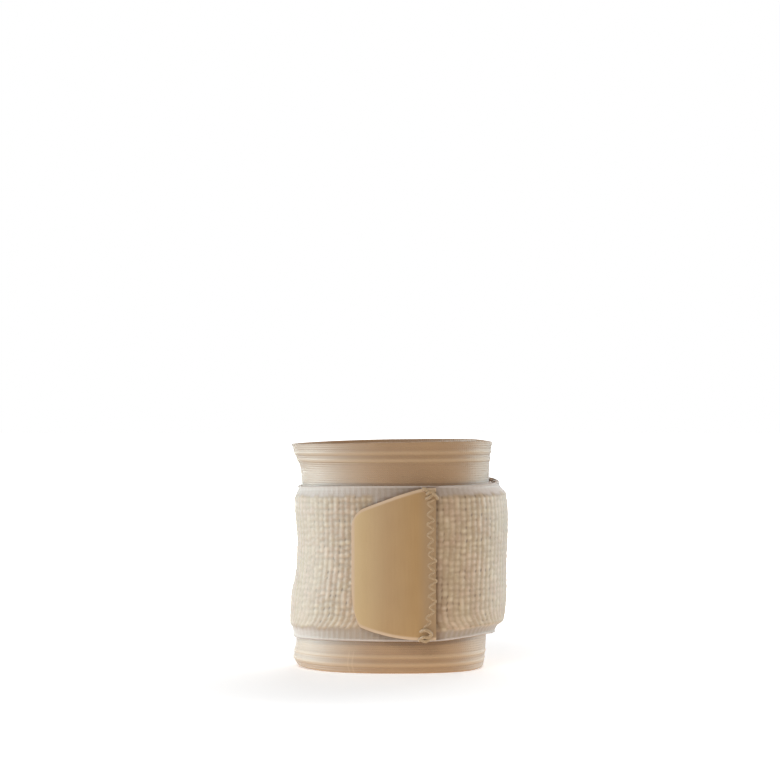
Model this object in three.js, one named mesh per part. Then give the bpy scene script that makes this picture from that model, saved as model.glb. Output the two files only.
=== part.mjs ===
// Elastic wrist support: a knitted sleeve, a woven strap wound round it and over its own start,
// and a smooth fastening tab sewn to the strap's outer end.
// Millimetres. +Z runs up the wrist towards the hand, and the tab closes at the front, -Y.
// The support stands on its lower hem, with the origin on the floor at the middle of its outer box.
// Angles are in degrees, from the front towards the right, +X.

import * as THREE from 'three';
import { mergeVertices } from 'three/addons/utils/BufferGeometryUtils.js';

// Driving sizes
const SLEEVE_HEIGHT = 74;
const SLEEVE_WALL = 1.6;
const STRAP_WIDTH = 50;
const STRAP_LOW_EDGE = 9.8;
const STRAP_END_ANGLE = 10;
const STRAP_START_ANGLE = 486;
const TAB_THICKNESS = 1.2;
const SEAT_GAP = 0.3;
const ANGLE_STEP = 6;

// Where the wrist's axis stands in the frame, so that the outer box is centred on the origin
const AXIS_X = -2.7;
const AXIS_Y = 1.86;

// Outline of the wrist section: a superellipse, rounder on the left than on the right
const LEFT_EXPONENT = 2.1;
const RIGHT_EXPONENT = 2.6;

// The sleeve's outer face, drawn in under the strap and flared at the hems
const SLEEVE_SECTIONS = [
  { height: 0, centre: 0.1, halfWidth: 30.4, halfDepth: 22.2 },
  { height: 2.5, centre: -0.3, halfWidth: 31.1, halfDepth: 22.6 },
  { height: 6.5, centre: 0.1, halfWidth: 31.1, halfDepth: 22.6 },
  { height: 10, centre: 0.4, halfWidth: 31.0, halfDepth: 22.3 },
  { height: 17, centre: 0.9, halfWidth: 31.1, halfDepth: 22.0 },
  { height: 24, centre: 1.5, halfWidth: 30.9, halfDepth: 21.8 },
  { height: 30, centre: 2.0, halfWidth: 30.6, halfDepth: 21.6 },
  { height: 37, centre: 2.3, halfWidth: 30.5, halfDepth: 21.5 },
  { height: 45, centre: 2.5, halfWidth: 30.4, halfDepth: 21.5 },
  { height: 55, centre: 2.2, halfWidth: 30.5, halfDepth: 21.6 },
  { height: 61, centre: 1.7, halfWidth: 30.7, halfDepth: 21.8 },
  { height: 65.5, centre: 1.5, halfWidth: 31.0, halfDepth: 22.1 },
  { height: 69.5, centre: 0.9, halfWidth: 31.9, halfDepth: 22.6 },
  { height: SLEEVE_HEIGHT, centre: 0.6, halfWidth: 32.9, halfDepth: 23.1 },
];

// The hems draw in towards the strap at the sides
const HEM_REACH = 12;
const HEM_LIFTS = [
  { angle: -88, halfSpan: 55, lowHem: 0.6, topHem: 0 },
  { angle: -88, halfSpan: 125, lowHem: 0, topHem: 1.2 },
  { angle: 90, halfSpan: 43, lowHem: 0.5, topHem: 0.5 },
];

// Raised stripes, measured from the lower and from the upper hem
const LOW_STRIPES = [2.8, 5.4];
const TOP_STRIPES = [3.6, 6.1];
const STRIPE_HALF_WIDTH = 0.7;
const STRIPE_RELIEF = 0.22;
const HEM_ROUNDING = 0.4;

// Section across the strap from its lower to its upper edge: a full body between thin selvedges
const STRAP_PROFILE = [
  { across: 0, thickness: 0.6, topEdge: 0 },
  { across: 1.4, thickness: 0.8, topEdge: 0 },
  { across: 2.9, thickness: 1.3, topEdge: 0 },
  { across: 4.3, thickness: 2.0, topEdge: 0 },
  { across: 6, thickness: 2.1, topEdge: 0 },
  { across: 15, thickness: 2.1, topEdge: 0 },
  { across: 25, thickness: 2.1, topEdge: 0 },
  { across: 35, thickness: 2.1, topEdge: 0 },
  { across: 44.8, thickness: 2.1, topEdge: 0 },
  { across: 46.3, thickness: 2.0, topEdge: 0.05 },
  { across: 47.5, thickness: 1.3, topEdge: 0.3 },
  { across: 48.6, thickness: 0.8, topEdge: 0.7 },
  { across: STRAP_WIDTH, thickness: 0.6, topEdge: 1 },
];

// The outer turn steps down on to the sleeve past the strap's start, and stands off a little at the right
const STEP_FROM = 128;
const STEP_TO = 152;
const SPREAD = { angle: 95, halfSpan: 60, body: 0.4, topEdge: 1.3 };
const STRAP_RISES = [
  { angle: 95, halfSpan: 80, height: 0.6 },
  { angle: 272, halfSpan: 70, height: -0.6 },
];

// The tab's upper and lower edges, from the seam at the right to the tip at the left
const TAB_EDGES = [
  { x: -11.9, top: 50.9, bottom: 16.6 },
  { x: -8.9, top: 52.4, bottom: 15.0 },
  { x: -2.5, top: 55.0, bottom: 12.9 },
  { x: 5.3, top: 57.8, bottom: 11.5 },
  { x: 9.7, top: 59.0, bottom: 11.2 },
  { x: 14.4, top: 59.3, bottom: 11.2 },
];
const TAB_TOP_CORNER = { along: 3.6, across: 4 };
const TAB_LOW_CORNER = { along: 3, across: 11 };
const TAB_RAMP = { from: -8, to: 8.8 };
const TAB_LEAST_SEAT = 1.8;
const TAB_STIFFNESS = 1.8;
const TAB_COLUMNS = 16;
const TAB_ROWS = 14;
const TAB_TIP_CROWDING = 1.6;

// A table as smooth curves through its rows, or as straight lines between them
function readTable(rows, key, Interpolant) {
  const columns = Object.keys(rows[0]).filter((name) => name !== key);
  const places = rows.map((row) => row[key]);
  const values = rows.flatMap((row) => columns.map((name) => row[name]));
  const curve = new Interpolant(places, values, columns.length, []);
  return (place) => {
    const found = curve.evaluate(place);
    return Object.fromEntries(columns.map((name, index) => [name, found[index]]));
  };
}

const sleeveSection = readTable(SLEEVE_SECTIONS, 'height', THREE.CubicInterpolant);
const strapProfile = readTable(STRAP_PROFILE, 'across', THREE.LinearInterpolant);
const tabEdges = readTable(TAB_EDGES, 'x', THREE.CubicInterpolant);

// A smooth swelling round the wrist: 1 at its own angle, 0 from half a span away
function swelling(angle, { angle: middle, halfSpan }) {
  const away = Math.abs(THREE.MathUtils.euclideanModulo(angle - middle + 180, 360) - 180);
  return away < halfSpan ? Math.cos((Math.PI / 2) * (away / halfSpan)) ** 2 : 0;
}

// A point of the sleeve's outer face before the hems are drawn in
function wristPoint(angle, height) {
  const { centre, halfWidth, halfDepth } = sleeveSection(height);
  const turn = THREE.MathUtils.degToRad(angle);
  const exponent = Math.sin(turn) < 0 ? LEFT_EXPONENT : RIGHT_EXPONENT;
  const share = (value) => Math.sign(value) * Math.abs(value) ** (2 / exponent);
  return new THREE.Vector3(
    AXIS_X + centre + halfWidth * share(Math.sin(turn)),
    AXIS_Y - halfDepth * share(Math.cos(turn)),
    height,
  );
}

// The same point moved straight out of the face
function offWrist(angle, height, distance) {
  const nearby = 0.5;
  const before = wristPoint(angle - nearby, height);
  const tangent = wristPoint(angle + nearby, height).sub(before);
  const outward = new THREE.Vector3(tangent.y, -tangent.x, 0).normalize();
  return wristPoint(angle, height).addScaledVector(outward, distance);
}

// Moves every vertex of a geometry and welds it into one closed body
function bent(geometry, place) {
  const position = geometry.getAttribute('position');
  const point = new THREE.Vector3();
  for (let index = 0; index < position.count; index += 1) {
    point.copy(place(point.fromBufferAttribute(position, index)));
    position.setXYZ(index, point.x, point.y, point.z);
  }
  geometry.deleteAttribute('normal');
  geometry.deleteAttribute('uv');
  const welded = mergeVertices(geometry, 1e-3);
  welded.computeVertexNormals();
  return welded;
}

function fabric(name, geometry, color, roughness) {
  const mesh = new THREE.Mesh(geometry, new THREE.MeshStandardMaterial({ color, roughness, metalness: 0 }));
  mesh.name = name;
  return mesh;
}

// Sleeve: its wall's section is turned round the axis, then fitted to the wrist
function makeSleeve() {
  const turnedRadius = 100;
  const point = (depth, height) => new THREE.Vector2(turnedRadius + depth, height);
  const upward = (low, high) => low - high;
  const crests = [...LOW_STRIPES, ...TOP_STRIPES.map((distance) => SLEEVE_HEIGHT - distance)];
  const feet = crests.flatMap((crest) => [crest - STRIPE_HALF_WIDTH, crest + STRIPE_HALF_WIDTH]);
  const edges = [HEM_ROUNDING, SLEEVE_HEIGHT - HEM_ROUNDING];
  const sections = SLEEVE_SECTIONS.map((section) => section.height);
  const stripesEnd = Math.max(...LOW_STRIPES, ...TOP_STRIPES) + STRIPE_HALF_WIDTH;
  const between = sections.filter((height) => Math.min(height, SLEEVE_HEIGHT - height) > stripesEnd);
  const outer = [...crests, ...feet, ...between, ...edges]
    .sort(upward)
    .map((height) => point(crests.includes(height) ? STRIPE_RELIEF : 0, height));
  const inner = [...sections.slice(1, -1), ...edges]
    .sort(upward)
    .map((height) => point(-SLEEVE_WALL, height))
    .reverse();
  const rim = [-HEM_ROUNDING, HEM_ROUNDING - SLEEVE_WALL];
  const topRim = rim.map((depth) => point(depth, SLEEVE_HEIGHT));
  const lowRim = rim.map((depth) => point(depth, 0)).reverse();
  const profile = [...outer, ...topRim, ...inner, ...lowRim, outer[0]];
  return bent(new THREE.LatheGeometry(profile, 360 / ANGLE_STEP), ({ x, y: height, z }) => {
    const angle = THREE.MathUtils.radToDeg(Math.atan2(x, z));
    const placed = offWrist(angle, height, Math.hypot(x, z) - turnedRadius);
    const low = Math.max(0, 1 - height / HEM_REACH) ** 2;
    const high = Math.max(0, 1 - (SLEEVE_HEIGHT - height) / HEM_REACH) ** 2;
    HEM_LIFTS.forEach((lift) => {
      placed.z += swelling(angle, lift) * (low * lift.lowHem - high * lift.topHem);
    });
    return placed;
  });
}

// How far the strap's inner face lies from the sleeve at a turn of the winding
function strapLift(turn, across) {
  const { thickness, topEdge } = strapProfile(across);
  const overStart = 1 - THREE.MathUtils.smoothstep(turn, STEP_FROM, STEP_TO);
  const spread = turn < 180 ? swelling(turn, SPREAD) : 0;
  const standOff = spread * THREE.MathUtils.lerp(SPREAD.body, SPREAD.topEdge, topEdge);
  return SEAT_GAP + overStart * (thickness + SEAT_GAP) + standOff;
}

function onStrap(turn, across, distance) {
  const height = STRAP_LOW_EDGE + across;
  const placed = offWrist(turn, height, distance);
  STRAP_RISES.forEach((rise) => {
    placed.z += rise.height * swelling(turn, rise);
  });
  return placed;
}

// Strap: a long flat band wound from its outer end at the front to its start under the outer turn
function makeStrap() {
  const turns = [STRAP_END_ANGLE];
  for (let turn = 2 * ANGLE_STEP; turn <= STRAP_START_ANGLE; turn += ANGLE_STEP) turns.push(turn);
  const columns = turns.length - 1;
  const rows = STRAP_PROFILE.length - 1;
  const band = new THREE.BoxGeometry(1, 1, 1, columns, rows, 1);
  return bent(band, ({ x, y, z }) => {
    const turn = turns[Math.round((x + 0.5) * columns)];
    const { across, thickness } = STRAP_PROFILE[Math.round((y + 0.5) * rows)];
    return onStrap(turn, across, strapLift(turn, across) + (z > 0 ? thickness : 0));
  });
}

// Angle at which a point at a distance off the sleeve is seen at x from the front
function frontAngle(x, height, distance) {
  const passes = 5;
  const { centre, halfWidth } = sleeveSection(height);
  let angle = 0;
  let share = (x - centre) / (halfWidth + distance);
  for (let pass = 0; pass < passes; pass += 1) {
    const exponent = share < 0 ? LEFT_EXPONENT : RIGHT_EXPONENT;
    angle = THREE.MathUtils.radToDeg(Math.sign(share) * Math.asin(Math.abs(share) ** (exponent / 2)));
    share += (AXIS_X + x - offWrist(angle, height, distance).x) / (halfWidth + distance);
  }
  return angle;
}

// How far a rounded corner at the tip cuts into an edge
function cornerCut(fromTip, { along, across }) {
  const inside = Math.max(0, 1 - fromTip / along);
  return across * (1 - Math.sqrt(1 - inside ** 2));
}

// Tab: a flat plate over the strap's outer end, ramped down on to the turn below
function makeTab() {
  const tip = TAB_EDGES[0].x;
  const length = TAB_EDGES[TAB_EDGES.length - 1].x - tip;
  const plate = new THREE.BoxGeometry(1, 1, 1, TAB_COLUMNS, TAB_ROWS, 1);
  return bent(plate, ({ x, y, z }) => {
    const fromTip = length * (x + 0.5) ** TAB_TIP_CROWDING;
    const place = tip + fromTip;
    const { top, bottom } = tabEdges(place);
    const high = top - cornerCut(fromTip, TAB_TOP_CORNER);
    const low = bottom + cornerCut(fromTip, TAB_LOW_CORNER);
    const height = THREE.MathUtils.lerp(low, high, (1 + Math.sin(Math.PI * y)) / 2);
    const middle = STRAP_LOW_EDGE + STRAP_WIDTH / 2;
    const bridged = Math.max(0, Math.abs(height - middle) - TAB_STIFFNESS) * Math.sign(height - middle);
    const { thickness } = strapProfile(STRAP_WIDTH / 2 + bridged);
    const layer = Math.max(thickness, TAB_LEAST_SEAT) + SEAT_GAP;
    const onEnd = THREE.MathUtils.smoothstep(place, TAB_RAMP.from, TAB_RAMP.to);
    const seat = (1 + onEnd) * layer + SEAT_GAP;
    const distance = seat + (z > 0 ? TAB_THICKNESS : 0);
    return offWrist(frontAngle(place, height, seat), height, distance);
  });
}

const wristSupport = new THREE.Group();
wristSupport.add(
  fabric('sleeve', makeSleeve(), 0xc9a988, 0.9),
  fabric('strap', makeStrap(), 0xd3c4ae, 0.85),
  fabric('fastening_tab', makeTab(), 0xc09c6c, 0.55),
);

export default wristSupport;
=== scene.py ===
import math

import bmesh
import bpy
import numpy as np
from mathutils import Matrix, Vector


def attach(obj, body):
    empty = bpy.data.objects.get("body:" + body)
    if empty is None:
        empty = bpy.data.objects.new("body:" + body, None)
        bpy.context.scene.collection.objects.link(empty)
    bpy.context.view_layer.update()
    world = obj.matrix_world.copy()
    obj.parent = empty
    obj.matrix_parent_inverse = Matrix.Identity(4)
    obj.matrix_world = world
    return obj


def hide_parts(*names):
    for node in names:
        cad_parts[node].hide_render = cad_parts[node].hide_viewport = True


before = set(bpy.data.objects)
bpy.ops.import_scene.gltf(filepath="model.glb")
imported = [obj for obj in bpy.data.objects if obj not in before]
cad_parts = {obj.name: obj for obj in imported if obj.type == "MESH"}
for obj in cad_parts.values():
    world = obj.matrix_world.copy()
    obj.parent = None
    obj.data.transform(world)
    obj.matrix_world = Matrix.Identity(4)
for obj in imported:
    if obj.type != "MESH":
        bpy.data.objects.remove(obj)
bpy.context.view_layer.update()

# Sleeve
# A seamless tube of fine elastic knit, open at both ends, that the strap draws in at the middle.
# Its courses run round the wrist, and two raised courses of paler yarn mark each hem.
# Sizes are in millimetres and angles in degrees from the front towards the right.
MM = 0.001
SLEEVE_HEIGHT = 74
SLEEVE_WALL = 1.6
AXIS_X, AXIS_Y = -2.7, 1.86
LEFT_EXPONENT, RIGHT_EXPONENT = 2.1, 2.6
SLEEVE_SECTIONS = np.array([
    # height, centre, half width, half depth
    (0, 0.1, 30.4, 22.2),
    (2.5, -0.3, 31.1, 22.6),
    (6.5, 0.1, 31.1, 22.6),
    (10, 0.4, 31.0, 22.3),
    (17, 0.9, 31.1, 22.0),
    (24, 1.5, 30.9, 21.8),
    (30, 2.0, 30.6, 21.6),
    (37, 2.3, 30.5, 21.5),
    (45, 2.5, 30.4, 21.5),
    (55, 2.2, 30.5, 21.6),
    (61, 1.7, 30.7, 21.8),
    (65.5, 1.5, 31.0, 22.1),
    (69.5, 0.9, 31.9, 22.6),
    (SLEEVE_HEIGHT, 0.6, 32.9, 23.1),
])
HEM_REACH = 12
HEM_LIFTS = (
    # angle, half span, rise of the lower hem, dip of the upper hem
    (-88, 55, 0.6, 0),
    (-88, 125, 0, 1.2),
    (90, 43, 0.5, 0.5),
)
HEM_ROUNDING = 0.4
STRIPE_HEIGHTS = 2.8, 5.4, SLEEVE_HEIGHT - 6.1, SLEEVE_HEIGHT - 3.6
STRIPE_CORE, STRIPE_HALF_WIDTH = 0.1, 0.95
STRIPE_RELIEF = 0.2
# Painted shade in the furrows beside the stripes: its core and reach.
FURROW_CORE, FURROW_REACH = 1.0, 2.2
COURSE_PITCH = 0.75
COURSE_RELIEF = 0.025
JOIN_ANGLE = -22.5
JOIN_LINES = -0.7, 0.7
JOIN_CORE, JOIN_HALF_WIDTH = 0.1, 0.35
JOIN_HEIGHT, JOIN_FADE = 8, 2
BACK_ANGLE = 180
SLEEVE_COLUMNS = 216
OUTER_ROWS = 332
INNER_ROWS = 36
RIM_ROWS = 8


def smooth_rows(table, at):
    """Each column of a table as a smooth curve through its rows, read at the given places."""
    keys, values = table[:, 0], table[:, 1:]
    slopes = np.gradient(values, keys, axis=0)
    row = np.clip(np.searchsorted(keys, at, side="right") - 1, 0, len(keys) - 2)
    step = (keys[row + 1] - keys[row])[..., None]
    t = (np.asarray(at) - keys[row])[..., None] / step
    near = (1 + 2 * t) * (1 - t) ** 2 * values[row] + t * (1 - t) ** 2 * step * slopes[row]
    far = t * t * (3 - 2 * t) * values[row + 1] + t * t * (t - 1) * step * slopes[row + 1]
    return np.moveaxis(near + far, -1, 0)


def smooth_step(value, low, high):
    t = np.clip((np.asarray(value) - low) / (high - low), 0, 1)
    return t * t * (3 - 2 * t)


def swelling(angle, middle, half_span):
    """A smooth swelling round the wrist: 1 at its own angle, 0 from half a span away."""
    away = np.abs((np.asarray(angle) - middle + 180) % 360 - 180)
    return np.cos(np.pi / 2 * np.minimum(away / half_span, 1)) ** 2


def wrist_point(angle, height):
    centre, half_width, half_depth = smooth_rows(SLEEVE_SECTIONS, height)
    sine, cosine = np.sin(np.radians(angle)), np.cos(np.radians(angle))
    power = 2 / np.where(sine < 0, LEFT_EXPONENT, RIGHT_EXPONENT)
    x = AXIS_X + centre + half_width * np.sign(sine) * np.abs(sine) ** power
    y = AXIS_Y - half_depth * np.sign(cosine) * np.abs(cosine) ** power
    return np.stack([x, y], axis=-1)


def off_wrist(angle, height, distance):
    """The point of the sleeve's outer face at an angle and a height, moved straight out of the face."""
    wanted = (np.asarray(value, float) for value in (angle, height, distance))
    angle, height, distance = np.broadcast_arrays(*wanted)
    nearby = 0.5
    tangent = wrist_point(angle + nearby, height) - wrist_point(angle - nearby, height)
    outward = np.stack([tangent[..., 1], -tangent[..., 0]], axis=-1)
    outward /= np.linalg.norm(outward, axis=-1, keepdims=True)
    level = wrist_point(angle, height) + outward * distance[..., None]
    return np.concatenate([level, height[..., None]], axis=-1)


def wrist_angle(x, y, height):
    """The angle of a place on the sleeve, and how near it is to the outer face, which is at 1."""
    centre, half_width, half_depth = smooth_rows(SLEEVE_SECTIONS, height)
    aside, ahead = (x - AXIS_X - centre) / half_width, (AXIS_Y - y) / half_depth
    power = np.where(aside < 0, LEFT_EXPONENT, RIGHT_EXPONENT) / 2
    sine, cosine = np.sign(aside) * np.abs(aside) ** power, np.sign(ahead) * np.abs(ahead) ** power
    return np.degrees(np.arctan2(sine, cosine)), np.hypot(sine, cosine)


def cloth_object(name, mesh_maker, material):
    """A named object at the origin, smooth shaded, from a filled bmesh."""
    mesh = bpy.data.meshes.new(name)
    mesh_maker.to_mesh(mesh)
    mesh_maker.free()
    mesh.polygons.foreach_set("use_smooth", [True] * len(mesh.polygons))
    mesh.materials.append(material)
    made = bpy.data.objects.new(name, mesh)
    bpy.context.scene.collection.objects.link(made)
    return made


def woven_tube(places, cloth_u, cloth_v, values):
    """A cloth from a grid of places in mm, with the cloth's own coordinates and named values at each."""
    rows, columns = places.shape[:2]
    made = bmesh.new()
    uv = made.loops.layers.uv.new("Cloth")
    layers = {name: made.verts.layers.float.new(name) for name in values}
    bmesh.ops.create_grid(made, x_segments=columns - 1, y_segments=rows - 1, size=0.5)
    made.verts.ensure_lookup_table()
    for vert in made.verts:
        row, column = divmod(vert.index, columns)
        vert.co = places[row, column] * MM
        for name, layer in layers.items():
            vert[layer] = values[name][row, column]
    for face in made.faces:
        for loop in face.loops:
            row, column = divmod(loop.vert.index, columns)
            loop[uv].uv = cloth_u[row, column], cloth_v[row, column]
    bmesh.ops.remove_doubles(made, verts=made.verts[:], dist=1e-3 * MM)
    return made


class Yarn:
    """A value or colour in a material's nodes. Sums and products of yarns add the nodes that they need."""

    def __init__(self, tree, socket=None):
        self.tree, self.socket = tree, socket

    def node(self, kind, settings=None, inputs=None, output=0):
        made = self.tree.nodes.new(kind)
        for name, value in (settings or {}).items():
            setattr(made, name, value)
        for name, value in (inputs or {}).items():
            if isinstance(value, Yarn):
                self.tree.links.new(value.socket, made.inputs[name])
            else:
                made.inputs[name].default_value = value
        return Yarn(self.tree, made.outputs[output])

    def math(self, operation, *others):
        inputs = dict(enumerate((self, *others)))
        return self.node("ShaderNodeMath", {"operation": operation}, inputs)

    def __add__(self, other):
        return self.math("ADD", other)

    def __mul__(self, other):
        return self.math("MULTIPLY", other)

    def __sub__(self, other):
        return self.math("SUBTRACT", other)

    def __rsub__(self, other):
        return self * -1 + other

    __radd__, __rmul__ = __add__, __mul__

    def step(self, low, high):
        """0 below low and 1 above high, or the other way round, with a soft change between."""
        ends = {"Value": self, "From Min": low, "From Max": high}
        return self.node("ShaderNodeMapRange", {"interpolation_type": "SMOOTHSTEP"}, ends)

    def near(self, place, core, reach):
        """1 within a core of a place, and 0 from a reach away."""
        return (self - place).math("ABSOLUTE").step(reach, core)

    def blend(self, first, second):
        """The first colour where this is 0, the second where it is 1."""
        return self.node("ShaderNodeMix", {"data_type": "RGBA"}, {0: self, 6: first, 7: second}, output=2)

    def part(self, axis):
        return self.node("ShaderNodeSeparateXYZ", {}, {0: self}, output=axis)

    def noise(self, scale, detail=2.0):
        return self.node("ShaderNodeTexNoise", {}, {"Vector": self, "Scale": scale, "Detail": detail})

    def stretched(self, along, across):
        scale = along, across, 1
        return self.node("ShaderNodeVectorMath", {"operation": "MULTIPLY"}, {0: self, 1: scale})

    def waves(self, pitch):
        """1 at each whole pitch and 0 halfway between."""
        return (self * (2 * math.pi / pitch)).math("COSINE") * 0.5 + 0.5

    def value_of(self, name):
        return self.node("ShaderNodeAttribute", {"attribute_name": name}, {}, output="Fac")


def from_screen(red, green, blue):
    """A colour from screen values of 0 to 255."""
    def linear(value):
        share = value / 255
        return share / 12.92 if share <= 0.04045 else ((share + 0.055) / 1.055) ** 2.4
    return linear(red), linear(green), linear(blue), 1.0


def finish_of(name, gloss, sheen, sheen_tint):
    """A new cloth material, its shader and the cloth's coordinates as a yarn."""
    material = bpy.data.materials.new(name)
    material.use_nodes = True
    shader = material.node_tree.nodes["Principled BSDF"]
    shader.inputs["Diffuse Roughness"].default_value = 1.0
    shader.inputs["Specular IOR Level"].default_value = gloss
    shader.inputs["Sheen Weight"].default_value = sheen
    shader.inputs["Sheen Roughness"].default_value = 0.3
    shader.inputs["Sheen Tint"].default_value = sheen_tint
    start = Yarn(material.node_tree)
    cloth = start.node("ShaderNodeUVMap", {"uv_map": "Cloth"})
    return material, shader, cloth


def dress(shader, colour, roughness, height, distance):
    """Joins a colour, a roughness and a bump to the shader. The bump's distance is in millimetres."""
    tree = colour.tree
    tree.links.new(colour.socket, shader.inputs["Base Color"])
    tree.links.new(roughness.socket, shader.inputs["Roughness"])
    bump = colour.node("ShaderNodeBump", {}, {"Height": height, "Distance": distance * MM, "Strength": 1.0})
    tree.links.new(bump.socket, shader.inputs["Normal"])


def knit_finish(join_along):
    tan = from_screen(194, 155, 110)
    deep_tan = from_screen(182, 142, 99)
    furrow_shade_tan = from_screen(170, 131, 90)
    pale_yarn = from_screen(208, 173, 129)
    painted_shade_brown = from_screen(140, 102, 66)
    material, shader, cloth = finish_of("sleeve_knit", 0.5, 0.5, (1.0, 1.0, 1.0, 1.0))
    along, height = cloth.part(0), cloth.part(1)
    stripes = sum(height.near(crest, STRIPE_CORE, STRIPE_HALF_WIDTH) for crest in STRIPE_HEIGHTS)
    joins = sum((along - join_along).near(place, JOIN_CORE, JOIN_HALF_WIDTH) for place in JOIN_LINES)
    joins = joins * height.step(JOIN_HEIGHT, JOIN_HEIGHT - JOIN_FADE)
    courses = height.waves(COURSE_PITCH)
    wale_pitch, lean = 0.7, 0.5
    wales = (along + courses * (wale_pitch * lean)).waves(wale_pitch)
    fibres = cloth.stretched(0.4, 3.0).noise(1.6, 3.0)
    clouds = cloth.noise(0.1, 2.0)
    tone = fibres * 0.5 + clouds * 0.45 + courses * 0.12
    ground = tone.step(0.25, 0.85).blend(deep_tan, tan)
    # Painted shade: the knit darker in the furrows beside the raised stripes.
    furrow_shade = sum(height.near(crest, FURROW_CORE, FURROW_REACH) for crest in STRIPE_HEIGHTS) - stripes
    ground = (furrow_shade * 0.25).blend(ground, furrow_shade_tan)
    colour = (stripes * 0.75 + joins * 0.4).blend(ground, pale_yarn)
    # Painted shade: the sleeve darker along the strap's lower and upper edges, where the strap shades it.
    colour = (cloth.value_of("painted_shade") * 0.55).blend(colour, painted_shade_brown)
    dress(shader, colour, fibres * 0.1 + 0.65, wales * 0.5 + fibres * 0.6 + courses * 0.4, 0.07)
    return material


def sleeve_mesh():
    angles = np.linspace(BACK_ANGLE, BACK_ANGLE + 360, SLEEVE_COLUMNS + 1)
    outer = np.linspace(HEM_ROUNDING, SLEEVE_HEIGHT - HEM_ROUNDING, OUTER_ROWS)
    relief = COURSE_RELIEF * np.cos(2 * np.pi * outer / COURSE_PITCH)
    for crest in STRIPE_HEIGHTS:
        near = np.minimum(np.abs(outer - crest) / STRIPE_HALF_WIDTH, 1)
        relief = relief + STRIPE_RELIEF * np.cos(np.pi / 2 * near) ** 2
    bow = np.linspace(0, np.pi, RIM_ROWS + 2)[1:-1]
    rim_depth = SLEEVE_WALL / 2 * (np.cos(bow) - 1)
    rim_height = SLEEVE_HEIGHT - HEM_ROUNDING * (1 - np.sqrt(np.sin(bow)))
    inner = np.linspace(SLEEVE_HEIGHT - HEM_ROUNDING, HEM_ROUNDING, INNER_ROWS)
    heights = np.concatenate([outer, rim_height, inner, SLEEVE_HEIGHT - rim_height, outer[:1]])
    inner_face = np.full(INNER_ROWS, -SLEEVE_WALL)
    depths = np.concatenate([relief, rim_depth, inner_face, rim_depth[::-1], relief[:1]])
    places = off_wrist(angles[None, :], heights[:, None], depths[:, None])
    low = np.maximum(0, 1 - heights / HEM_REACH)[:, None] ** 2
    high = np.maximum(0, 1 - (SLEEVE_HEIGHT - heights) / HEM_REACH)[:, None] ** 2
    for angle, half_span, rise, dip in HEM_LIFTS:
        places[..., 2] += swelling(angles, angle, half_span) * (low * rise - high * dip)
    middle = places[OUTER_ROWS // 2, :, :2]
    along = np.concatenate([[0], np.cumsum(np.linalg.norm(np.diff(middle, axis=0), axis=1))])
    cloth_u, cloth_v = np.broadcast_arrays(along[None, :], heights[:, None])
    made = woven_tube(places, cloth_u, cloth_v, {})
    return made, along[-1], np.interp(JOIN_ANGLE + 360, angles, along)


sleeve_bmesh, sleeve_round, join_along = sleeve_mesh()
sleeve = cloth_object("knitted_sleeve", sleeve_bmesh, knit_finish(join_along))
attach(sleeve, "root")
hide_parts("sleeve")

# Strap
# A band of elastic webbing, woven in upright ribs between thin plain selvedges with a corded edge.
# It is sewn to the sleeve at its hidden start and wound round it, over its own start, to the front.
STRAP_WIDTH = 50
STRAP_LOW_EDGE = 9.8
STRAP_END_ANGLE = 10
STRAP_START_ANGLE = 486
SEAT_GAP = 0.3
STRAP_PROFILE = np.array([
    # across, thickness, share of the upper edge's stand-off
    (0, 0.4, 0),
    (0.35, 0.8, 0),
    (0.8, 0.7, 0),
    (1.4, 0.8, 0),
    (2.7, 1.1, 0),
    (4.4, 2.0, 0),
    (6, 2.1, 0),
    (25, 2.1, 0),
    (44.8, 2.1, 0),
    (46.3, 2.0, 0.05),
    (47.5, 1.3, 0.3),
    (48.6, 0.8, 0.7),
    (49.2, 0.7, 0.85),
    (49.65, 0.8, 0.95),
    (STRAP_WIDTH, 0.4, 1),
])
STEP_FROM, STEP_TO = 128, 152
SPREAD_ANGLE, SPREAD_HALF_SPAN, SPREAD_BODY, SPREAD_TOP = 95, 60, 0.8, 1.3
LEFT_SIDE, LEFT_HALF_SPAN = 268, 70
LEFT_BULGES = (
    # across, half width, lift
    (43, 13, 0.7),
    (15, 11, 0.5),
)
STRAP_RISES = (
    # angle, half span, height
    (95, 80, 0.6),
    (272, 70, -0.6),
)
CORNER_ANGLE, CORNER_HALF_SPAN, CORNER_FROM, CORNER_RISE = 114, 36, 38, 1.0
LOW_EDGE_REACH, LOW_EDGE_RISE = 9, 0.6
DRAWN_UP_ANGLE, DRAWN_UP_HALF_SPAN, DRAWN_UP_RISE = 55, 40, 0.9
RIB_PITCH = 1.93
RIB_DEPTH = 0.32
RIB_SHARPNESS = 1.4
RIBS_BEFORE_END = 40
GROOVES_FROM, GROOVES_TO = (2.2, 4.2), (46.0, 47.6)
SWAYS = (
    # size, turn of the wave across the strap, turn along it
    (0.09, 0.31, 0.13),
    (0.06, 0.9, -0.41),
)
GROUND_LEFT, GROUND_RIGHT = 0.52, 0.44
FLAT_AT_SIDES = 0.22
FLAT_TO_RIGHT, FLAT_TO_LEFT = (0.72, 1.0), (0.6, 0.92)
EVEN_AT_SIDES, EVEN_AT_BACK, EVEN_TONE = 0.6, 0.5, 0.25
EVEN_TO_BACK = 0, 0.6
PILLOW_PITCH = 2.0
PILLOW_SHIFT, PILLOW_UNEVEN = 0.08, 0.26
PILLOW_ROWS, TOP_PILLOW = 40, 26
PULLS, EVEN_PULLS_AT_TOP = 18, 4
LONG_FLOAT_SHARE, LONG_FLOAT_DIP, LEAST_DIP = 0.15, 0.25, 0.5
DIP_SHARPNESS = 2.6
LOW_DIP_SHARE, LOW_DIP_TO, FULL_DIP_FROM = 0.3, 6, 10.5
SUNK_AT_MOST = 0.32
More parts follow.
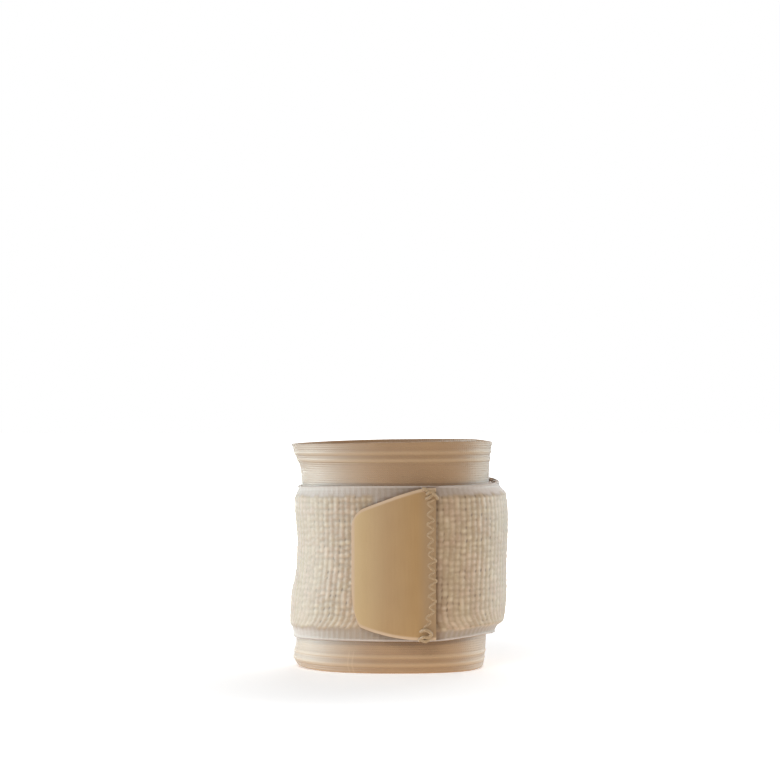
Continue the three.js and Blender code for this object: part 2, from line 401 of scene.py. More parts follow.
DIP_LEFT, DIP_RIGHT, DIP_BACK = 0.86, 0.74, 0.6
RIBS_LOW_LEFT, RIBS_LOW_RIGHT, RIBS_HIGH = 4.7, 3.8, 46.6
RIB_END_RAGGED = 0.5
LOW_END_FROM, LOW_END_TO = -1.4, 0.4
HIGH_END_FROM, HIGH_END_TO = -0.4, 0.9
# Painted highlight on the ribs' top ends: its strength, and where it starts and is full below the ribs' top.
TOP_END_HIGHLIGHT, TOP_END_HIGHLIGHT_FROM, TOP_END_HIGHLIGHT_FULL = 0.4, -3, -1.5
FAN_LOW = 5.8
FAN_HIGH_LEFT, FAN_HIGH_RIGHT = 9.5, 11.5
FAN_LEAN, FAN_SPREAD = 0.8, 2.5
SIDE_BLEND = 0.3
SHOWN_TO_ANGLE, SHOWN_FADE = 350, 5
RIB_SAMPLES = 6
HIDDEN_STEP = 4.0
MEASURING_STEPS = 2000
SELVEDGE_ROWS = np.array([0, 0.12, 0.35, 0.6, 0.9, 1.4, 2.0, 2.5, 2.9, 3.3])
BODY_FROM, BODY_ROWS = 3.7, 102
UNDERSIDE_ROWS = np.array([STRAP_WIDTH, 46.0, 36.0, 25.0, 14.0, 5.0, 0.0])
WEAVE_SEED = 11
# Painted shade on the sleeve along the strap's edges: where it lies below and above them, its core and half
# width, and how it fades at the sides.
SLEEVE_SHADE_BELOW, SLEEVE_SHADE_ABOVE = 0.9, 0.3
SLEEVE_SHADE_CORE, SLEEVE_SHADE_HALF_WIDTH = 0.2, 1.0
SLEEVE_SHADE_LESS, SLEEVE_SHADE_LESS_FROM, SLEEVE_SHADE_LEAST_FROM = 0.7, 0.7, 0.95
OUTER_FACE_FROM = 0.97
# Where the selvedge's painted shade and painted highlight start and where they are full: across the strap,
# and then along it from the tab.
LOW_SELVEDGE, TOP_SELVEDGE = (8.0, 3.0), (44.0, 48.0)
SHADED_AT_LEFT, SHADED_AT_RIGHT = (155.0, 168.0), (40.0, 15.0)
HIGHLIGHT_AT_RIGHT, HIGHLIGHT_BEFORE_BACK = (8.0, 26.0), (62.0, 36.0)
HIGHLIGHT_AT_LEFT, HIGHLIGHT_TOP_BEFORE_TAB, HIGHLIGHT_LOW_BEFORE_TAB = (112.0, 140.0), (182.0, 160.0), (160.0, 146.0)
CORDED_EDGE = 0.9, 0.4


def strap_thickness(across):
    return smooth_rows(STRAP_PROFILE, across)[0]


def strap_lift(turn, across):
    """How far the strap's inner face lies from the sleeve at a turn of the winding."""
    thickness, top_share = smooth_rows(STRAP_PROFILE, across)
    over_start = 1 - smooth_step(turn, STEP_FROM, STEP_TO)
    spread = np.where(np.asarray(turn) < 180, swelling(turn, SPREAD_ANGLE, SPREAD_HALF_SPAN), 0)
    stand_off = spread * (SPREAD_BODY + (SPREAD_TOP - SPREAD_BODY) * top_share)
    at_left = np.where(np.asarray(turn) < SHOWN_TO_ANGLE, swelling(turn, LEFT_SIDE, LEFT_HALF_SPAN), 0)
    for middle, half_width, lift in LEFT_BULGES:
        stand_off = stand_off + at_left * lift * swelling(across, middle, half_width)
    return SEAT_GAP + over_start * (thickness + SEAT_GAP) + stand_off


def on_strap(turn, across, distance):
    placed = off_wrist(turn, STRAP_LOW_EDGE + across, distance)
    for angle, half_span, height in STRAP_RISES:
        placed[..., 2] += height * swelling(turn, angle, half_span)
    corner = np.where(np.asarray(turn) < 180, swelling(turn, CORNER_ANGLE, CORNER_HALF_SPAN), 0)
    placed[..., 2] += CORNER_RISE * corner * smooth_step(across, CORNER_FROM, STRAP_WIDTH)
    drawn_up = LOW_EDGE_RISE + DRAWN_UP_RISE * swelling(turn, DRAWN_UP_ANGLE, DRAWN_UP_HALF_SPAN)
    placed[..., 2] += drawn_up * (1 - smooth_step(across, 0, LOW_EDGE_REACH))
    return placed


def rib_lean(across, turn, fan_high):
    """How far the ribs fan out towards the sides, near the strap's lower edge."""
    below = np.maximum(0, fan_high - across)
    bend = fan_high - FAN_LOW
    eased = np.where(across > FAN_LOW, below ** 2 / (2 * bend), below - bend / 2)
    return -FAN_LEAN * np.tanh(FAN_SPREAD * np.sin(np.radians(turn))) * eased


def rib_weave(along, across, turn):
    """The woven ribs' height from 0 to 1, each float's tone with a painted highlight on the top ends, the
    painted shade of the holes between floats, and where ribs are.
    """
    chance = np.random.default_rng(WEAVE_SEED)
    to_left = 1 - smooth_step(np.sin(np.radians(turn)), -SIDE_BLEND, SIDE_BLEND)
    to_back = smooth_step(-np.cos(np.radians(turn)), -SIDE_BLEND, SIDE_BLEND)
    fan_high = FAN_HIGH_RIGHT + (FAN_HIGH_LEFT - FAN_HIGH_RIGHT) * to_left
    dip = (DIP_RIGHT + (DIP_LEFT - DIP_RIGHT) * to_left) * (1 - to_back) + DIP_BACK * to_back
    ground = GROUND_RIGHT + (GROUND_LEFT - GROUND_RIGHT) * to_left
    ribs_low = RIBS_LOW_RIGHT + (RIBS_LOW_LEFT - RIBS_LOW_RIGHT) * to_left
    sway = sum(size * np.sin(by_across * across + by_along * along) for size, by_across, by_along in SWAYS)
    place = (along + rib_lean(across, turn, fan_high) + sway + RIBS_BEFORE_END) / RIB_PITCH
    rib = np.floor(place).astype(int)
    count = rib.max() + 2
    shift = chance.uniform(-PILLOW_SHIFT, PILLOW_SHIFT, count)[rib]
    ridge = 1 - (0.5 + 0.5 * np.cos(2 * np.pi * (place - rib))) ** RIB_SHARPNESS
    pulls = chance.uniform(-PILLOW_UNEVEN, PILLOW_UNEVEN, (count, PULLS))
    pulls[:, -EVEN_PULLS_AT_TOP:] = 0
    pull = across / STRAP_WIDTH * (PULLS - 1)
    before = np.minimum(np.floor(pull).astype(int), PULLS - 2)
    uneven = pulls[rib, before] + (pulls[rib, before + 1] - pulls[rib, before]) * (pull - before)
    row = (across - RIBS_HIGH) / PILLOW_PITCH + shift + uneven + TOP_PILLOW
    between = np.rint(row).astype(int)
    pillow = np.floor(row).astype(int)
    long_floats = chance.random((count, PILLOW_ROWS)) < LONG_FLOAT_SHARE
    short_dips = chance.uniform(LEAST_DIP, 1.0, (count, PILLOW_ROWS))
    dips = np.where(long_floats, LONG_FLOAT_DIP, short_dips)[rib, between]
    narrowing = np.abs(np.cos(np.pi * (row - between)))
    dip_share = LOW_DIP_SHARE + (1 - LOW_DIP_SHARE) * smooth_step(across, LOW_DIP_TO, FULL_DIP_FROM)
    swell = 1 - dip * dips * narrowing ** DIP_SHARPNESS * dip_share
    # The painted shade of the holes where grooves and dips between floats meet, random in depth.
    depth = chance.random((count + 1, PILLOW_ROWS)) ** 2
    hole = (1 - ridge) ** 3 * narrowing ** 3 * depth[np.rint(place).astype(int), between]
    proud = 1 - SUNK_AT_MOST * chance.random((count, PILLOW_ROWS))[rib, pillow]
    tone = chance.random((count, PILLOW_ROWS))[rib, pillow]
    # Painted highlight: the ribs' top ends paler towards the right, where the light catches them.
    at_top = smooth_step(across, RIBS_HIGH + TOP_END_HIGHLIGHT_FROM, RIBS_HIGH + TOP_END_HIGHLIGHT_FULL)
    tone = tone + TOP_END_HIGHLIGHT * (1 - to_left) * at_top
    ragged_low, ragged_high = chance.uniform(-RIB_END_RAGGED, RIB_END_RAGGED, (2, count))[:, rib]
    from_low, from_high = across - ribs_low - ragged_low, across - RIBS_HIGH - ragged_high
    low_end = smooth_step(from_low, LOW_END_FROM, LOW_END_TO)
    high_end = 1 - smooth_step(from_high, HIGH_END_FROM, HIGH_END_TO)
    ends = low_end * high_end * (1 - smooth_step(turn, SHOWN_TO_ANGLE - SHOWN_FADE, SHOWN_TO_ANGLE))
    rise = ground + (1 - ground) * ridge
    return rise * swell * proud * ends, tone, hole * ends, ends


def strap_mesh():
    fine = np.linspace(STRAP_END_ANGLE, STRAP_START_ANGLE, MEASURING_STEPS)
    halfway = STRAP_WIDTH / 2
    outer_face = strap_lift(fine, halfway) + strap_thickness(halfway)
    middle = on_strap(fine, halfway, outer_face)
    length = np.concatenate([[0], np.cumsum(np.linalg.norm(np.diff(middle, axis=0), axis=1))])
    shown_length = np.interp(SHOWN_TO_ANGLE, fine, length)
    shown_steps = round(shown_length / RIB_PITCH * RIB_SAMPLES)
    hidden_steps = round((length[-1] - shown_length) / HIDDEN_STEP)
    along = np.concatenate([
        np.linspace(0, shown_length, shown_steps),
        np.linspace(shown_length, length[-1], hidden_steps + 1)[1:],
    ])
    turn = np.interp(along, length, fine)
    body = np.linspace(BODY_FROM, STRAP_WIDTH - BODY_FROM, BODY_ROWS)
    outer = np.concatenate([SELVEDGE_ROWS, body, STRAP_WIDTH - SELVEDGE_ROWS[::-1]])
    across = np.concatenate([outer, UNDERSIDE_ROWS, outer[:1]])
    outside = np.concatenate([np.ones(len(outer)), np.zeros(len(UNDERSIDE_ROWS)), np.ones(1)])
    across, outside = across[:, None], outside[:, None]
    height, tone, hole, ribbed = rib_weave(along[None, :], across, turn[None, :])
    to_right = np.sin(np.radians(turn))[None, :]
    at_sides = smooth_step(to_right, *FLAT_TO_RIGHT) + smooth_step(-to_right, *FLAT_TO_LEFT)
    height = height + FLAT_AT_SIDES * at_sides * (ribbed - height)
    at_back = smooth_step(-np.cos(np.radians(turn)), *EVEN_TO_BACK)[None, :]
    uneven = (1 - EVEN_AT_SIDES * at_sides) * (1 - EVEN_AT_BACK * at_back)
    hole, tone = hole * uneven, EVEN_TONE + (tone - EVEN_TONE) * uneven
    groove = RIB_DEPTH * smooth_step(across, *GROOVES_FROM) * (1 - smooth_step(across, *GROOVES_TO))
    shown = 1 - smooth_step(turn, SHOWN_TO_ANGLE - SHOWN_FADE, SHOWN_TO_ANGLE)[None, :]
    wall = strap_thickness(across) - groove * (1 - height) * shown
    distance = strap_lift(turn[None, :], across) + outside * wall
    places = on_strap(turn[None, :], np.broadcast_to(across, distance.shape), distance)
    cloth_u, cloth_v = np.broadcast_arrays(along[None, :], across)
    values = {
        "rib_height": height * outside,
        "rib_tone_and_highlight": tone,
        "hole": hole * outside,
        "ribbed": ribbed * outside,
    }
    made = woven_tube(places, cloth_u, cloth_v, values)
    open_ends = [edge for edge in made.edges if edge.is_boundary]
    bmesh.ops.holes_fill(made, edges=open_ends)
    return made, length[-1]


def places_of(piece):
    """The places of a piece's vertices in millimetres."""
    places = np.empty(3 * len(piece.data.vertices))
    piece.data.vertices.foreach_get("co", places)
    return places.reshape(-1, 3) / MM


def mark(piece, name, values):
    """Gives each vertex of a piece a value that its material reads by name."""
    piece.data.attributes.new(name, "FLOAT", "POINT").data.foreach_set("value", values)


def paint_shade_on_sleeve():
    """Marks painted shade on the sleeve along the strap's lower and upper edges, where the strap shades it.
    """
    x, y, height = places_of(sleeve).T
    angle, outward = wrist_angle(x, y, height)
    turn = np.where(angle < STRAP_END_ANGLE, angle + 360, angle)
    painted_shade = np.zeros(len(height))
    for across, beyond in ((0, -SLEEVE_SHADE_BELOW), (STRAP_WIDTH, SLEEVE_SHADE_ABOVE)):
        line = on_strap(turn, across, 0)[:, 2] + beyond
        painted_shade += 1 - smooth_step(np.abs(height - line), SLEEVE_SHADE_CORE, SLEEVE_SHADE_HALF_WIDTH)
    to_side = np.abs(np.sin(np.radians(angle)))
    fade = 1 - SLEEVE_SHADE_LESS * smooth_step(to_side, SLEEVE_SHADE_LESS_FROM, SLEEVE_SHADE_LEAST_FROM)
    mark(sleeve, "painted_shade", painted_shade * fade * (outward > OUTER_FACE_FROM))


def webbing_finish():
    rib_pale = from_screen(222, 198, 164)
    rib_warm = from_screen(188, 158, 123)
    rib_rose = from_screen(207, 175, 148)
    rib_olive = from_screen(203, 183, 147)
    crest_highlight = from_screen(234, 215, 186)
    groove_shade = from_screen(182, 154, 121)
    hole_shade = from_screen(140, 112, 84)
    selvedge_grey = from_screen(203, 186, 172)
    selvedge_warm = from_screen(183, 161, 138)
    selvedge_highlight = from_screen(226, 211, 199)
    pale_cord_and_highlight = from_screen(216, 200, 186)
    painted_shade_brown = from_screen(142, 102, 64)
    material, shader, cloth = finish_of("strap_weave", 0.33, 0.5, (1.0, 1.0, 1.0, 1.0))
    along, across = cloth.part(0), cloth.part(1)
    height, tone = cloth.value_of("rib_height"), cloth.value_of("rib_tone_and_highlight")
    hole, ribbed = cloth.value_of("hole"), cloth.value_of("ribbed")
    fibres = cloth.stretched(2.4, 0.7).noise(1.8, 3.0)
    specks = cloth.noise(1.1, 2.0)
    yarn = (tone * 0.45 + fibres * 0.3 + specks * 0.7).step(0.4, 1.05).blend(rib_warm, rib_pale)
    tint = cloth.noise(0.15, 2.0).step(0.36, 0.64).blend(rib_rose, rib_olive)
    yarn = (fibres * 0.3 + 0.25).blend(yarn, tint)
    # Painted shade: the grooves between ribs darker than the yarn.
    ribs = height.step(0.0, 0.8).blend(groove_shade, yarn)
    # Painted highlight on the crests of some proud floats.
    ribs = (height.step(0.65, 0.95) * tone.step(0.35, 1.0) * 0.4).blend(ribs, crest_highlight)
    # Painted shade in the holes where grooves and dips between floats meet.
    ribs = (hole * 1.15).step(0.0, 1.0).blend(ribs, hole_shade)
    faint_ribs = along.waves(RIB_PITCH)
    low_edge, top_edge = across.step(*LOW_SELVEDGE), across.step(*TOP_SELVEDGE)
    # Painted shade: the lower selvedge darker along parts of the strap, where less light reaches it.
    painted_light = low_edge * (along.step(*SHADED_AT_LEFT) + along.step(*SHADED_AT_RIGHT) * 0.7)
    plain = (fibres * 0.6 + faint_ribs * 0.4 - painted_light * 0.5).blend(selvedge_warm, selvedge_grey)
    # Painted highlight: the upper selvedge paler at the right, and both selvedges paler at the left.
    at_right = along.step(*HIGHLIGHT_AT_RIGHT) * along.step(*HIGHLIGHT_BEFORE_BACK)
    at_left = along.step(*HIGHLIGHT_AT_LEFT)
    top_highlight = top_edge * (at_right * 0.9 + at_left * along.step(*HIGHLIGHT_TOP_BEFORE_TAB) * 0.5)
    low_highlight = low_edge * at_left * along.step(*HIGHLIGHT_LOW_BEFORE_TAB) * 0.5
    plain = (top_highlight + low_highlight).blend(plain, selvedge_highlight)
    colour = ribbed.blend(plain, ribs)
    from_edge = across.math("MINIMUM", STRAP_WIDTH - across)
    # The corded edges: paler cord yarn, with a painted highlight along them.
    colour = from_edge.step(*CORDED_EDGE).blend(colour, pale_cord_and_highlight)
    # Painted shade: the strap darker along the tab's edges and seam, where the tab shades it.
    colour = (cloth.value_of("painted_shade") * 0.7).blend(colour, painted_shade_brown)
    twist = (along * 1.2 + across).waves(0.55)
    plain_weave = along.waves(0.62) * across.waves(0.5) + faint_ribs
    bump = ribbed * twist * 0.5 + (1 - ribbed) * plain_weave + fibres
    dress(shader, colour, fibres * 0.1 + 0.65, bump * 0.5, 0.09)
    return material


strap_bmesh, strap_length = strap_mesh()
strap = cloth_object("woven_strap", strap_bmesh, webbing_finish())
paint_shade_on_sleeve()
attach(strap, "root")
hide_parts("strap")

# Fastening tab
# A smooth laminated tab with a pale cut edge, sewn flat on the strap's outer end.
# It lies over that end at the right, and slopes down on to the turn below towards its rounded tip.
TAB_THICKNESS = 1.2
TAB_EDGES = np.array([
    # x, upper edge, lower edge
    (-11.9, 50.9, 16.6),
    (-8.9, 52.4, 15.0),
    (-2.5, 55.0, 12.9),
    (5.3, 57.8, 11.5),
    (9.7, 59.0, 11.2),
    (14.4, 59.3, 11.2),
])
TAB_TOP_CORNER = 3.6, 4.0
TAB_LOW_CORNER = 3.0, 11.0
TAB_RAMP_FROM, TAB_RAMP_TO = -8.0, 8.8
TAB_LEAST_SEAT = 1.8
TAB_STIFFNESS = 1.8
TAB_TIP_CROWDING = 1.6
TAB_COLUMNS, TAB_ROWS = 44, 56
TAB_MEASURING_STEPS = 200
TAB_EDGE_ROUND = 0.42
# Where the tab's painted highlight towards its tip ends.
TAB_HIGHLIGHT_TO = 2.0
CUT_EDGE = 1.3, 0.5
# Where the tab's painted shade by the seam starts and is full.
SEAM_SHADE = 8.0, 12.5
# Painted shade on the strap along the tab's edges and seam: how sharply it ends above and below the tab, its
# core and reach, its fade from the tip, and its strength and reach beside the seam.
SHADE_SHARPER_ABOVE, SHADE_SHARPER_BELOW = 1.2, 1.5
STRAP_SHADE_CORE, STRAP_SHADE_REACH = 0.1, 1.1
TIP_SHADE_FROM, TIP_SHADE_FULL = -1.0, 5.0
SEAM_LOWER_TO, SEAM_UPPER_FROM = 20, 42
SEAM_STRAP_SHADE_LOW, SEAM_STRAP_SHADE_HIGH = 0.8, 0.3
SEAM_REACH_LOW, SEAM_REACH_HIGH = 3.4, 2.2


def corner_cut(from_tip, corner):
    along, across = corner
    inside = np.maximum(0, 1 - from_tip / along)
    return across * (1 - np.sqrt(1 - inside ** 2))


def tab_outline(x):
    """The tab's lower and upper edge at a place, with the tip's corners rounded."""
    top, bottom = smooth_rows(TAB_EDGES, x)
    from_tip = np.maximum(0, x - TAB_EDGES[0, 0])
    return bottom + corner_cut(from_tip, TAB_LOW_CORNER), top - corner_cut(from_tip, TAB_TOP_CORNER)


def tab_seat(x, height):
    """How far the tab's back lies from the sleeve."""
    from_middle = height - STRAP_LOW_EDGE - STRAP_WIDTH / 2
    bridged = np.sign(from_middle) * np.maximum(0, np.abs(from_middle) - TAB_STIFFNESS)
    layer = np.maximum(strap_thickness(STRAP_WIDTH / 2 + bridged), TAB_LEAST_SEAT) + SEAT_GAP
    return (1 + smooth_step(x, TAB_RAMP_FROM, TAB_RAMP_TO)) * layer + SEAT_GAP


def on_front(x, height, above):
    """A point seen at x and a height from the front, at a distance above the tab's back."""
    passes = 5
    seat = tab_seat(x, height)
    centre, half_width, _ = smooth_rows(SLEEVE_SECTIONS, height)
    share = (x - centre) / (half_width + seat)
    for _ in range(passes):
        power = np.where(share < 0, LEFT_EXPONENT, RIGHT_EXPONENT) / 2
        angle = np.degrees(np.sign(share) * np.arcsin(np.abs(share) ** power))
        share = share + (AXIS_X + x - off_wrist(angle, height, seat)[..., 0]) / (half_width + seat)
    return off_wrist(angle, height, seat + above)


def tab_mesh():
    made = bmesh.new()
    rim = made.verts.layers.float.new("rim")
    uv = made.loops.layers.uv.new("Cloth")
    bmesh.ops.create_grid(made, x_segments=TAB_COLUMNS, y_segments=TAB_ROWS, size=0.5)
    tip, seam = TAB_EDGES[0, 0], TAB_EDGES[-1, 0]
    for vert in made.verts:
        x = tip + (seam - tip) * (vert.co.x + 0.5) ** TAB_TIP_CROWDING
        low, high = tab_outline(np.float64(x))
        vert.co = x, low + (high - low) * (vert.co.y + 0.5), 0
    front = bmesh.ops.extrude_face_region(made, geom=made.faces[:])["geom"]
    raised = [part for part in front if isinstance(part, bmesh.types.BMVert)]
    bmesh.ops.translate(made, verts=raised, vec=(0, 0, TAB_THICKNESS))
    bmesh.ops.recalc_face_normals(made, faces=made.faces[:])
    edges = [edge for edge in made.edges
             if all(vert.co.z > TAB_THICKNESS / 2 for vert in edge.verts)
             and any(abs(face.normal.z) < 0.5 for face in edge.link_faces)]
    bmesh.ops.bevel(made, geom=edges, offset=TAB_EDGE_ROUND, affect="EDGES", segments=4, profile=0.5,
                    material=-1, clamp_overlap=True)
    for face in made.faces:
        for loop in face.loops:
            loop[uv].uv = loop.vert.co.x, loop.vert.co.y
    flat = np.array([vert.co for vert in made.verts])
    low, high = tab_outline(flat[:, 0])
    from_rim = np.minimum.reduce([flat[:, 0] - tip, high - flat[:, 1], flat[:, 1] - low])
    bent = on_front(flat[:, 0], flat[:, 1], flat[:, 2]) * MM
    for vert, place, distance in zip(made.verts, bent, from_rim):
        vert.co = place
        vert[rim] = distance
    return made


def paint_shade_on_strap():
    """Marks painted shade on the strap along the tab's upper, lower and seam edges, where the tab shades it.
    """
    tip, seam = TAB_EDGES[0, 0], TAB_EDGES[-1, 0]
    x, y, height = places_of(strap).T
    x = x - AXIS_X
    low, high = tab_outline(np.clip(x, tip, seam))
    past_edge = np.maximum((height - high) * SHADE_SHARPER_ABOVE, (low - height) * SHADE_SHARPER_BELOW)
    upper = smooth_step(height, SEAM_LOWER_TO, SEAM_UPPER_FROM)
    reach = SEAM_REACH_LOW + (SEAM_REACH_HIGH - SEAM_REACH_LOW) * upper
    past_seam = (x - seam) / reach
    painted_shade = 1 - smooth_step(np.maximum(past_edge, past_seam), STRAP_SHADE_CORE, STRAP_SHADE_REACH)
    seam_strap_shade = SEAM_STRAP_SHADE_LOW + (SEAM_STRAP_SHADE_HIGH - SEAM_STRAP_SHADE_LOW) * upper
    painted_shade *= np.where(past_seam > past_edge, seam_strap_shade, 1)
    from_tip = smooth_step(x, tip + TIP_SHADE_FROM, tip + TIP_SHADE_FULL)
    mark(strap, "painted_shade", painted_shade * from_tip * (y < AXIS_Y))


def laminate_finish():
    tan = from_screen(198, 161, 111)
    deep_tan = from_screen(191, 153, 103)
    highlight_tan = from_screen(219, 191, 142)
    cut_edge = from_screen(222, 194, 160)
    painted_seam_shade = from_screen(180, 150, 117)
    material, shader, cloth = finish_of("tab_laminate", 0.16, 0.2, (1.0, 0.96, 0.9, 1.0))
    rim = cloth.value_of("rim")
    grain = cloth.stretched(1.0, 0.06).noise(1.6, 3.0)
    specks = cloth.noise(3.5, 2.0)
    clouds = cloth.noise(0.09, 1.0)
    tone = grain * 0.4 + clouds * 0.6
    # Painted highlight: the tab paler towards its left tip, where the light falls strongest.
    painted_light = (cloth.part(0) + clouds * 3.0).step(TAB_HIGHLIGHT_TO, TAB_EDGES[0, 0] + 1.0)
    face = painted_light.blend(tone.step(0.2, 0.8).blend(deep_tan, tan), highlight_tan)
    # Painted shade: the tab darker towards its seamed right edge, away from the light.
    face = (cloth.part(0).step(*SEAM_SHADE) * 0.7).blend(face, painted_seam_shade)
    colour = rim.step(*CUT_EDGE).blend(face, cut_edge)
    dress(shader, colour, specks * 0.16 + 0.5, specks * 0.6 + grain * 0.4, 0.03)
    return material


tab = cloth_object("fastening_tab_front", tab_mesh(), laminate_finish())
tab_x = np.linspace(TAB_EDGES[0, 0], TAB_EDGES[-1, 0], TAB_MEASURING_STEPS)
tab_low, tab_high = tab_outline(tab_x)
tab_length = TAB_EDGES[-1, 0] - TAB_EDGES[0, 0]
paint_shade_on_strap()
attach(tab, "root")
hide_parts("fastening_tab")
(tab_high.max() - tab_low.min()) * MM
(tab_high - tab_low).mean() * tab_length * MM * MM

# Seam
# Zigzag stitching in tan thread that sews the tab to the strap's end, along the tab's right edge.
# It is back-tacked in a thick bunch of stitches at the top, and ends in a knotted loop at the bottom.
SEAM_LINE = np.array([
    # height, x
    (15.4, 11.7),
    (18.0, 12.2),
    (21.0, 12.9),
    (30.0, 13.1),
    (45.0, 12.8),
    (56.0, 12.6),
])
STITCH_PITCH = 3.3
STITCH_HALF_WIDTH = 1.15
STITCH_STRAY_X, STITCH_STRAY_HEIGHT = 0.22, 0.2
STITCH_SUNK, STITCH_ARCH = 0.5, 0.36
THREAD_RADIUS = 0.46
KNOT_RADIUS = 0.56
TWIST_SCALE, FUZZ_SCALE = 900.0, 1400.0
THREAD_ENDS = (
    # x, height and height above the tab of each point of a strand
    np.array([(10.2, 59.1, -0.1), (11.1, 58.9, 0.3), (12.1, 58.1, 0)]),
    np.array([(12.4, 58.4, 0), (13.5, 57.6, 0.5), (14.4, 56.6, 0.4), (14.9, 56.0, -0.3)]),
    np.array([(11.2, 55.9, -0.1), (12.2, 56.4, 0.4), (13.3, 57.2, 0)]),
    np.array([(11.4, 57.3, -0.1), (12.4, 57.9, 0.3), (13.9, 58.4, 0)]),
    np.array([(9.5, 13.9, -0.2), (10.2, 14.4, 0.3), (11.2, 14.5, 0.7), (12.2, 14.0, 0.8), (12.8, 13.2, 0.6),
              (12.4, 12.5, 0.5), (11.5, 12.2, 0.6), (10.4, 12.3, 0.7), (9.6, 11.8, 0.4), (9.0, 11.1, 0)]),
    np.array([(12.6, 12.2, 0), (12.0, 11.4, 0.4), (11.1, 11.0, 0.5), (10.2, 11.2, 0.3), (9.6, 11.9, 0)]),
)
STITCH_POINTS, STRAND_POINTS = 9, 5
SEAM_SEED = 5


def thread_finish():
    thread = from_screen(210, 181, 142)
    shade = from_screen(178, 146, 107)
    material, shader, cloth = finish_of("seam_thread", 0.2, 0.2, (1.0, 0.95, 0.88, 1.0))
    place = cloth.node("ShaderNodeTexCoord", {}, {}, output="Object")
    plies = {"Vector": place, "Scale": TWIST_SCALE}
    twist = place.node("ShaderNodeTexWave", {"bands_direction": "DIAGONAL"}, plies, output="Fac")
    fuzz = place.noise(FUZZ_SCALE, 2.0)
    colour = (twist * 0.6 + fuzz * 0.4).blend(shade, thread)
    dress(shader, colour, fuzz * 0.2 + 0.6, twist, 0.05)
    return material


def seam_stitches():
    """Each stitch as its places (x, height), their height above the tab's back and the thread's radius."""
    chance = np.random.default_rng(SEAM_SEED)
    low, high = SEAM_LINE[0, 0], SEAM_LINE[-1, 0]
    count = round((high - low) / STITCH_PITCH * 2)
    heights = np.linspace(low, high, count + 1)
    side = np.where(np.arange(count + 1) % 2, 1, -1)
    line_x = smooth_rows(SEAM_LINE, heights)[0]
    holes_x = line_x + side * STITCH_HALF_WIDTH + chance.normal(0, STITCH_STRAY_X, count + 1)
    heights = heights + chance.normal(0, STITCH_STRAY_HEIGHT, count + 1)
    share = np.linspace(0, 1, STITCH_POINTS)
    arch = np.sin(np.pi * share) ** 0.6
    for i in range(count):
        x = holes_x[i] + (holes_x[i + 1] - holes_x[i]) * share
        height = heights[i] + (heights[i + 1] - heights[i]) * share
        yield x, height, TAB_THICKNESS - STITCH_SUNK + STITCH_ARCH * arch, THREAD_RADIUS
    for strand in THREAD_ENDS:
        places = np.column_stack([np.arange(len(strand)), strand])
        x, height, above = smooth_rows(places, np.linspace(0, len(strand) - 1, STRAND_POINTS * len(strand)))
        yield x, height, TAB_THICKNESS + above, KNOT_RADIUS


def seam_object():
    curve = bpy.data.curves.new("zigzag_seam", "CURVE")
    curve.dimensions = "3D"
    curve.bevel_depth = MM
    curve.bevel_resolution = 2
    curve.use_fill_caps = True
    for x, height, above, radius in seam_stitches():
        line = on_front(x, height, above) * MM
        spline = curve.splines.new("POLY")
        spline.points.add(len(line) - 1)
        spline.points.foreach_set("co", np.concatenate([line, np.ones((len(line), 1))], axis=1).ravel())
        spline.points.foreach_set("radius", [radius] * len(line))
    drawn = bpy.data.objects.new("zigzag_seam_line", curve)
    made = bmesh.new()
    made.from_mesh(bpy.data.meshes.new_from_object(drawn))
    bpy.data.objects.remove(drawn)
    return cloth_object("zigzag_seam", made, thread_finish())


seam_thread = seam_object()
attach(seam_thread, "root")

# Floor, light and camera
# A pale floor that glows softly and runs out to a white surround, under an even light from all sides.
# A soft light stands before and behind the support, and the lights at its sides show only in its gloss.
# The camera looks level at the front. Places of lights are in metres.
CAMERA_DISTANCE = 750
CAMERA_HEIGHT = 90.2
LENS, SENSOR_WIDTH = 105.4, 36
FLOOR_HALF_SIZE = 4.0
FLOOR_GREY_CAST, FLOOR_GREY_SEEN = 0.8, 0.92
GLOW_NEAR, GLOW_FAR = 0.05, 0.3
GLOW_SEEN_NEAR, GLOW_CAST_NEAR, GLOW_STRENGTH = 0.3, 0.5, 1.3
AIMED_AT = 0, 0, 0.04
SOFT_LIGHTS = (
    # name, place, size, watts
    ("front_light", (-0.2, -0.84, 0.66), (0.5, 0.5), 3.2),
    ("back_light", (0.3, 0.95, 0.6), (0.9, 0.9), 7.0),
)
GLOSS_LIGHTS = (
    # name, place, watts
    ("left_haze", (-0.9, -0.1, 0.13), 73.0),
    ("back_left_haze", (-0.4, 0.8, 0.13), 8.0),
    ("right_haze", (0.88, 0.2, 0.13), 31.0),
)
GLOSS_SIZE = 0.7, 0.24
GLOSS_COLOUR = 0.82, 1.0, 1.03
AMBIENT = 0.34


def grey(level):
    return level, level, level, 1.0


floor_paint = bpy.data.materials.new("pale_floor")
floor_paint.use_nodes = True
paint = floor_paint.node_tree.nodes["Principled BSDF"]
paint.inputs["Roughness"].default_value = 0.9
paint.inputs["Specular IOR Level"].default_value = 0.0
seen = Yarn(floor_paint.node_tree).node("ShaderNodeLightPath", {}, {}, output="Is Camera Ray")
floor_tone = seen.blend(grey(FLOOR_GREY_CAST), grey(FLOOR_GREY_SEEN))
floor_paint.node_tree.links.new(floor_tone.socket, paint.inputs["Base Color"])
floor_place = seen.node("ShaderNodeTexCoord", {}, {}, output="Object")
length = {"operation": "LENGTH"}
from_middle = floor_place.node("ShaderNodeVectorMath", length, {0: floor_place}, output="Value")
seen_glow = from_middle.step(GLOW_NEAR, GLOW_FAR) * (1 - GLOW_SEEN_NEAR) + GLOW_SEEN_NEAR
cast_glow = from_middle.step(GLOW_FAR, GLOW_NEAR) * GLOW_CAST_NEAR
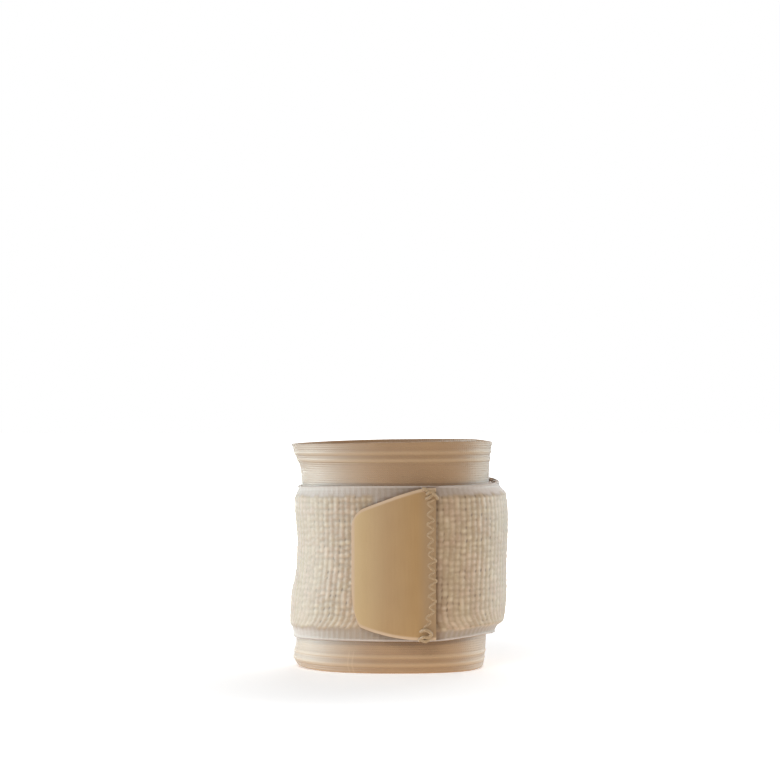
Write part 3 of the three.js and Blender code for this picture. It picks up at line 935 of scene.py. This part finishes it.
floor_glow = (seen * seen_glow + (1 - seen) * cast_glow).blend(grey(0), grey(1))
floor_paint.node_tree.links.new(floor_glow.socket, paint.inputs["Emission Color"])
paint.inputs["Emission Strength"].default_value = GLOW_STRENGTH
floor_bmesh = bmesh.new()
bmesh.ops.create_grid(floor_bmesh, x_segments=1, y_segments=1, size=FLOOR_HALF_SIZE)
floor = cloth_object("floor", floor_bmesh, floor_paint)


def aimed(name, lamp, place):
    """A light at a place, turned towards the middle of the support and unseen by the camera."""
    made = bpy.data.objects.new(name, lamp)
    made.location = place
    made.rotation_mode = "QUATERNION"
    made.rotation_quaternion = (Vector(AIMED_AT) - made.location).to_track_quat("-Z", "Y")
    made.visible_camera = False
    bpy.context.scene.collection.objects.link(made)
    return made


def soft_box(name, place, size, watts):
    lamp = bpy.data.lights.new(name, "AREA")
    lamp.shape = "RECTANGLE"
    lamp.size, lamp.size_y = size
    lamp.energy = watts
    return aimed(name, lamp, place)


for name, place, size, watts in SOFT_LIGHTS:
    soft_box(name, place, size, watts)
for name, place, watts in GLOSS_LIGHTS:
    haze = soft_box(name, place, GLOSS_SIZE, watts)
    haze.visible_diffuse = False
    haze.data.color = GLOSS_COLOUR

surround = bpy.data.worlds.new("surround")
surround.use_nodes = True
shine = surround.node_tree.nodes["Background"]
camera_ray = Yarn(surround.node_tree).node("ShaderNodeLightPath", {}, {}, output="Is Camera Ray")
surround.node_tree.links.new((camera_ray * (1 - AMBIENT) + AMBIENT).socket, shine.inputs["Strength"])
shine.inputs["Color"].default_value = grey(1)
bpy.context.scene.world = surround
bpy.context.scene.view_settings.view_transform = "Standard"

lens = bpy.data.cameras.new("camera")
lens.lens = LENS
lens.sensor_width = SENSOR_WIDTH
camera = bpy.data.objects.new("camera", lens)
camera.location = AXIS_X * MM, (AXIS_Y - CAMERA_DISTANCE) * MM, CAMERA_HEIGHT * MM
camera.rotation_euler = math.pi / 2, 0, 0
bpy.context.scene.collection.objects.link(camera)
bpy.context.scene.camera = camera
